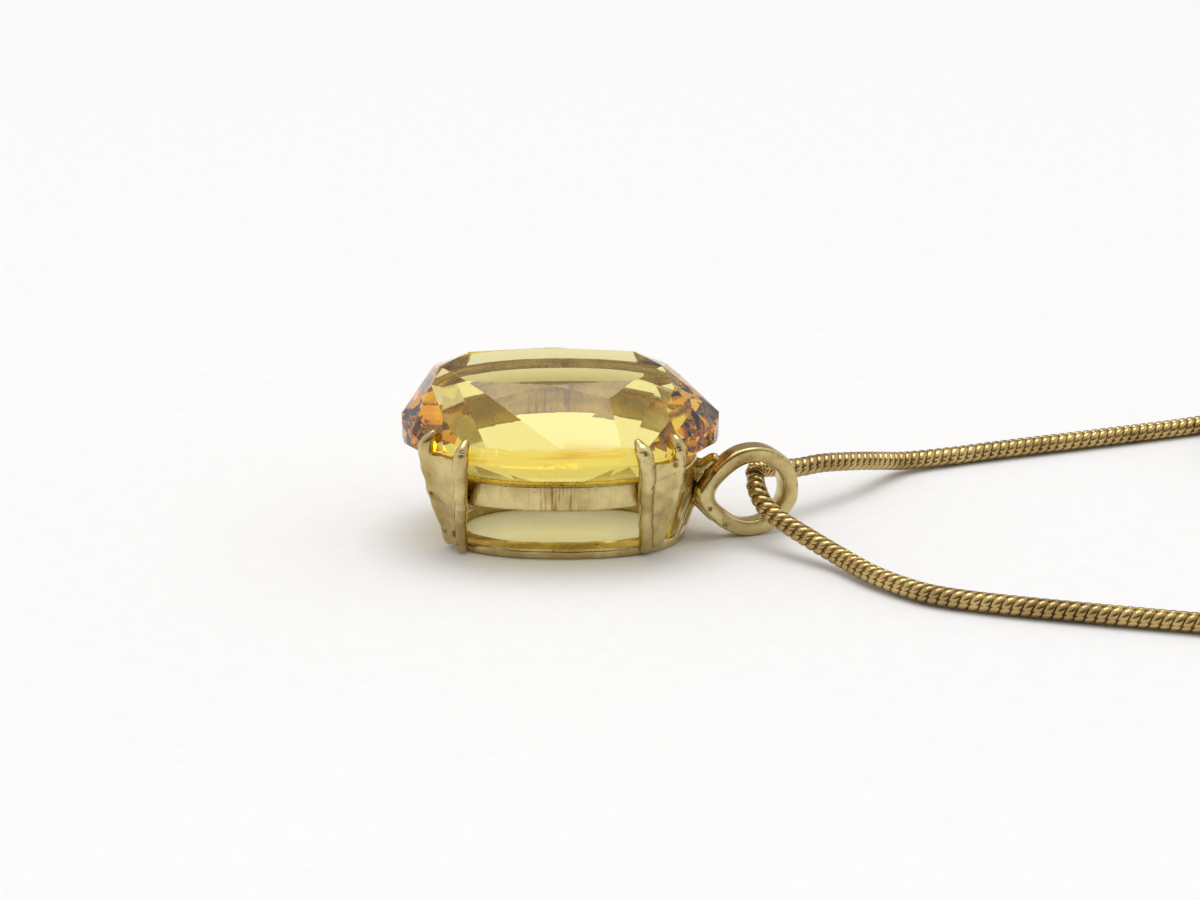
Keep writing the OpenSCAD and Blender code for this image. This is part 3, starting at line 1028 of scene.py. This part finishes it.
def finish_fitting(node, material):
    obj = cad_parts[node]
    obj.data.materials.clear()
    obj.data.materials.append(material)
    edge = obj.modifiers.new("filed edge", "BEVEL")
    edge.width = EDGE * MM
    edge.segments = 2
    edge.limit_method = "ANGLE"
    edge.angle_limit = math.radians(50)
    return obj


steel = drawn_steel()
paper = tie_paper()
fittings = [
    finish_fitting(node, material)
    for nodes, material, slot in (
        (("end_cap_front", "end_cap_back", "jump_ring", "tag_ring", "clasp_body", "clasp_lever"),
         fitting_gold, "chain_gold"),
        (("clasp_pin", "clasp_spring"), steel, "pin_steel"),
        (("ties_front", "ties_back"), paper, "tie_paper"),
    )
    for node in nodes
]
print("fittings", len(fittings))

# %% [markdown]
# ## Floor
# The pendant lies on a matt white sheet. Its very fine grain is nearly invisible, but it breaks up the
# gem's yellow light where that falls through the setting.

# %%
# Floor
FLOOR_HALF = 0.9


def floor_material():
    n = Nodes("floor")
    grain = n.noise(900, 3)
    color = n.ramp(grain, [(0.3, (0.862, 0.862, 0.862)), (0.7, (0.882, 0.882, 0.882))])
    n.principled(color, 0.6, n.bump(grain, 0.01 * MM, 0.2))
    return n.material


def add_floor():
    bm = bmesh.new()
    bmesh.ops.create_grid(bm, x_segments=8, y_segments=8, size=FLOOR_HALF)
    return add_mesh("floor", bm, [floor_material()], smooth=False)


add_floor()

# %% [markdown]
# ## Light
# Jewellery is shot in a white tent that is open towards the lens. The tent lights the floor evenly, and
# the dark opening is what polished metal and the gem's facets reflect: without it, they would have no
# contrast. Here the world is that tent, bright all round and brown-black behind the camera. It's dimmer
# low at the back too, since the gem's table mirrors that part of it at a flat angle and would look
# milky otherwise. One large soft lamp above gives the small soft shadows.

# %%
# Light
TENT_WHITE = (0.995, 0.995, 1.0, 1)
TENT_BACK = (0.42, 0.38, 0.32, 1)
OPENING_DARK = (0.13, 0.10, 0.08, 1)
# From the side opposite the opening, at 0, to the opening, at 1.
TENT = ((0.0, TENT_BACK), (0.03, TENT_BACK), (0.10, TENT_WHITE), (0.56, TENT_WHITE), (0.87, OPENING_DARK))
OPENING_SIDE = Vector((0.0, -1.0, -0.35))
TENT_STRENGTH = 0.95
LAMP_POWER = 1.55


def add_tent():
    world = bpy.data.worlds.new("tent")
    bpy.context.scene.world = world
    world.use_nodes = True
    tree = world.node_tree
    background = tree.nodes["Background"]
    coord = tree.nodes.new("ShaderNodeTexCoord")
    towards = tree.nodes.new("ShaderNodeVectorMath")
    towards.operation = "DOT_PRODUCT"
    towards.inputs[1].default_value = OPENING_SIDE.normalized()
    tree.links.new(coord.outputs["Generated"], towards.inputs[0])
    place = tree.nodes.new("ShaderNodeMapRange")
    place.inputs["From Min"].default_value = -1
    tree.links.new(towards.outputs["Value"], place.inputs["Value"])
    ramp = tree.nodes.new("ShaderNodeValToRGB")
    for _ in range(len(TENT) - 2):
        ramp.color_ramp.elements.new(0.5)
    for element, (position, color) in zip(ramp.color_ramp.elements, TENT):
        element.position = position
        element.color = color
    tree.links.new(place.outputs["Result"], ramp.inputs["Fac"])
    tree.links.new(ramp.outputs["Color"], background.inputs["Color"])
    background.inputs["Strength"].default_value = TENT_STRENGTH


def add_lamp(name, location, target, size, power):
    data = bpy.data.lights.new(name, "AREA")
    data.shape = "RECTANGLE"
    data.size, data.size_y = size
    data.energy = power
    lamp = bpy.data.objects.new(name, data)
    lamp.location = location
    lamp.rotation_euler = (Vector(target) - Vector(location)).to_track_quat("-Z", "Y").to_euler()
    bpy.context.scene.collection.objects.link(lamp)


add_tent()
add_lamp("top", (0.0, 0.1, 0.6), (0, 0, 0), (0.5, 0.4), LAMP_POWER)

# %% [markdown]
# Light bounces many times inside a cut gem before it leaves, so it needs more bounces than other
# scenes. With too few of them the gem's ends would turn black.

# %%
# Bounces and view
bpy.context.scene.cycles.max_bounces = 32
bpy.context.scene.cycles.transmission_bounces = 24
bpy.context.scene.cycles.glossy_bounces = 8
bpy.context.scene.view_settings.view_transform = "Standard"
